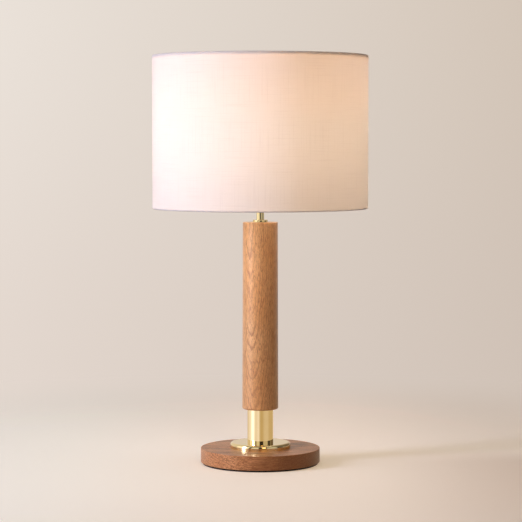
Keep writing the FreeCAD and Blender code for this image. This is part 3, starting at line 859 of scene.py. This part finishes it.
def painted_table_light(graph, x, y):
    """Painted light on the table, by its place: less to the right, and more behind the lamp, painted over
    its shadow there.
    """
    behind = graph.range(y, *painted_light_behind_span)
    middle = graph.mix(behind, painted_light_middle, painted_light_behind_middle)
    right = graph.mix(behind, painted_light_right, painted_light_behind_right)
    glow = graph.mix(graph.range(x, *painted_light_left_span), painted_light_left, middle)
    return graph.mix(graph.range(x, *painted_light_right_span), glow, right)


def table_paper():
    """Pale paper that fades into the backdrop some way off, where polished metal sees bands instead."""
    material, g = new_material("table_paper")
    path = g.tree.nodes.new("ShaderNodeLightPath")
    direct = seen_directly(g, path)
    place = g.millimetres()
    x, y, z = g.split(place)
    away = g.math("DIVIDE", g.length(g.join(x, y, 0.0)), METRE)
    fibre = g.noise(place, 0.35, detail=4.0, roughness=0.6)
    # Painted shade: the paper darker towards the right.
    paper = g.mix(g.range(x, *table_span, smooth=False), table_left, table_right)
    paper = g.mix(g.times(fibre, 0.06), paper, table_fleck)
    # Painted light: an emitted glow on the table, seen by camera and mirror rays only.
    near = g.principled(Base_Color=paper, Roughness=0.8, IOR=1.3, Emission_Color=painted_table_light(g, x, y),
                        Emission_Strength=direct, Normal=g.bump(fibre, distance=0.02 * MM, strength=0.3))

    metres = g.vector("DIVIDE", place, (METRE, METRE, METRE))
    outward = g.vector("NORMALIZE", g.vector("SUBTRACT", metres, wall_centre))
    wall = g.node("ShaderNodeEmission", {"Color": wall_colour(g, outward)})
    upper = g.layered(g.times(g.range(away, *table_fade), direct), near, wall)
    beyond = g.mix(g.range(away, *far_table_end), far_table_colour(g, place), room_colour(g, place))
    mirrored = g.node("ShaderNodeEmission", {"Color": beyond})
    mirror_share = g.times(path.outputs["Is Glossy Ray"], g.range(away, *far_table_start))
    upper = g.layered(mirror_share, upper, mirrored)

    under = g.node("ShaderNodeNewGeometry", {}, "Backfacing")
    g.surface(g.layered(under, upper, g.node("ShaderNodeBsdfTransparent", {})))
    return material


def make_table():
    """A round table, wide enough to reach the horizon from any side; clear from below."""
    vertices = [(0.0, 0.0, 0.0)]
    for j in range(table_steps):
        angle = math.tau * j / table_steps
        vertices.append((table_radius * math.cos(angle), table_radius * math.sin(angle), 0.0))
    mesh_piece("table", vertices, fan_faces(0, 1, table_steps), table_paper(), smooth=False)


def link_light(data, power, colour, place):
    data.energy = power
    data.color = colour
    light = bpy.data.objects.new(data.name, data)
    light.location = place
    bpy.context.scene.collection.objects.link(light)
    return light


def softbox(name, azimuth_deg, elevation_deg, width, height, power, colour):
    """Area light aimed at the lamp; azimuth is counted from the camera, positive to its right."""
    azimuth = math.radians(azimuth_deg)
    elevation = math.radians(elevation_deg)
    level = math.cos(elevation)
    way = Vector((math.sin(azimuth) * level, -math.cos(azimuth) * level, math.sin(elevation)))
    data = bpy.data.lights.new(name, "AREA")
    data.shape = "RECTANGLE"
    data.size = width
    data.size_y = height
    light = link_light(data, power, colour, Vector(light_aim) + way * light_distance)
    light.rotation_euler = way.to_track_quat("Z", "Y").to_euler()


def bulb_light():
    """The bulb's own light, unseen itself: all round from its ball, and more from its crown upwards."""
    low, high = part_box("bulb_glass")
    ball_data = bpy.data.lights.new("bulb_light", "POINT")
    ball_data.shadow_soft_size = bulb_ball_radius
    ball_place = (0.0, 0.0, high.z - bulb_ball_drop)
    ball = link_light(ball_data, bulb_ball_power, bulb_ball_colour, ball_place)
    crown_data = bpy.data.lights.new("bulb_crown", "AREA")
    crown_data.shape = "DISK"
    crown_data.size = bulb_crown_width
    crown_place = (0.0, 0.0, high.z - bulb_crown_drop)
    crown = link_light(crown_data, bulb_crown_power, bulb_crown_colour, crown_place)
    crown.rotation_euler = (math.pi, 0.0, 0.0)
    for light in (ball, crown):
        light.visible_glossy = False
        light.visible_camera = False


# Dressing

def dress_metals():
    dress(brass("polished_brass", 0.035), "flange_plate", "brass_tube", "check_ring", "neck_tube", "finial")
    dress(brass("plain_brass", 0.16), "tube_bush", "spider_hub", "harp_stud")
    dress(brass("socket_brass_finish", 0.20, socket_brass), "socket_cap", "socket_shell")
    dress(steel("plated_steel", (0.60, 0.59, 0.57), 0.32), "rod_washer", "rod_nut", "harp_saddle",
          "harp_wire", "harp_sleeve_left", "harp_sleeve_right", "switch_shaft", "cap_set_screw",
          "terminal_screws", "weight_screws", "centre_contact")
    dress(steel("threaded_steel", (0.58, 0.57, 0.54), 0.35, thread_pitch=1.0), "threaded_rod")
    dress(steel("bulb_cap_metal", (0.78, 0.78, 0.78), 0.28), "bulb_cap")
    dress(steel("screw_shell_metal", (0.80, 0.66, 0.38), 0.28, thread_pitch=3.6), "screw_shell")
    dress(steel("solder", (0.62, 0.62, 0.63), 0.35), "bulb_tip")
    dress(cast_iron(), "base_weight")
    dress(white_wire(), "shade_top_ring", "shade_bottom_ring", "spider_arms")


def dress_plastics():
    dress(moulded("black_phenolic", (0.016, 0.014, 0.013), (0.034, 0.030, 0.027), 0.34),
          "switch_knob", "socket_body")
    dress(moulded("grommet_plastic_grain", (0.030, 0.022, 0.017), (0.055, 0.042, 0.034), 0.46),
          "cord_grommet")
    dress(moulded("black_bulb_glass", (0.010, 0.010, 0.012), (0.022, 0.022, 0.026), 0.16),
          "bulb_insulator")
    dress(vulcanised_fibre(), "socket_liner")
    dress(liner_plastic(), "shade_liner")


def let_bulb_light_out():
    """The bulb's light passes its glass and the cloth's backing as if they were clear."""
    nodes["bulb_glass"].visible_shadow = False
    liner = nodes["shade_liner"]
    liner.visible_shadow = False
    liner.visible_diffuse = False
    liner.visible_transmission = False


make_camera()
make_world()
make_table()
softbox("key", azimuth_deg=-66, elevation_deg=18, width=1.2, height=2.6, power=204.0,
        colour=(0.81, 0.82, 1.0))
softbox("front", azimuth_deg=15, elevation_deg=25, width=1.2, height=1.2, power=37.0,
        colour=(1.0, 0.68, 0.36))
bulb_light()
dress(column_oak(), "wood_column")
dress(base_walnut(), "base_disc")
dress_metals()
dress_plastics()
dress(glowing_glass(), "bulb_glass")
let_bulb_light_out()
shade_sheet(shade_cloth())
felt_disc(felt())
bpy.context.scene.view_settings.view_transform = "Standard"
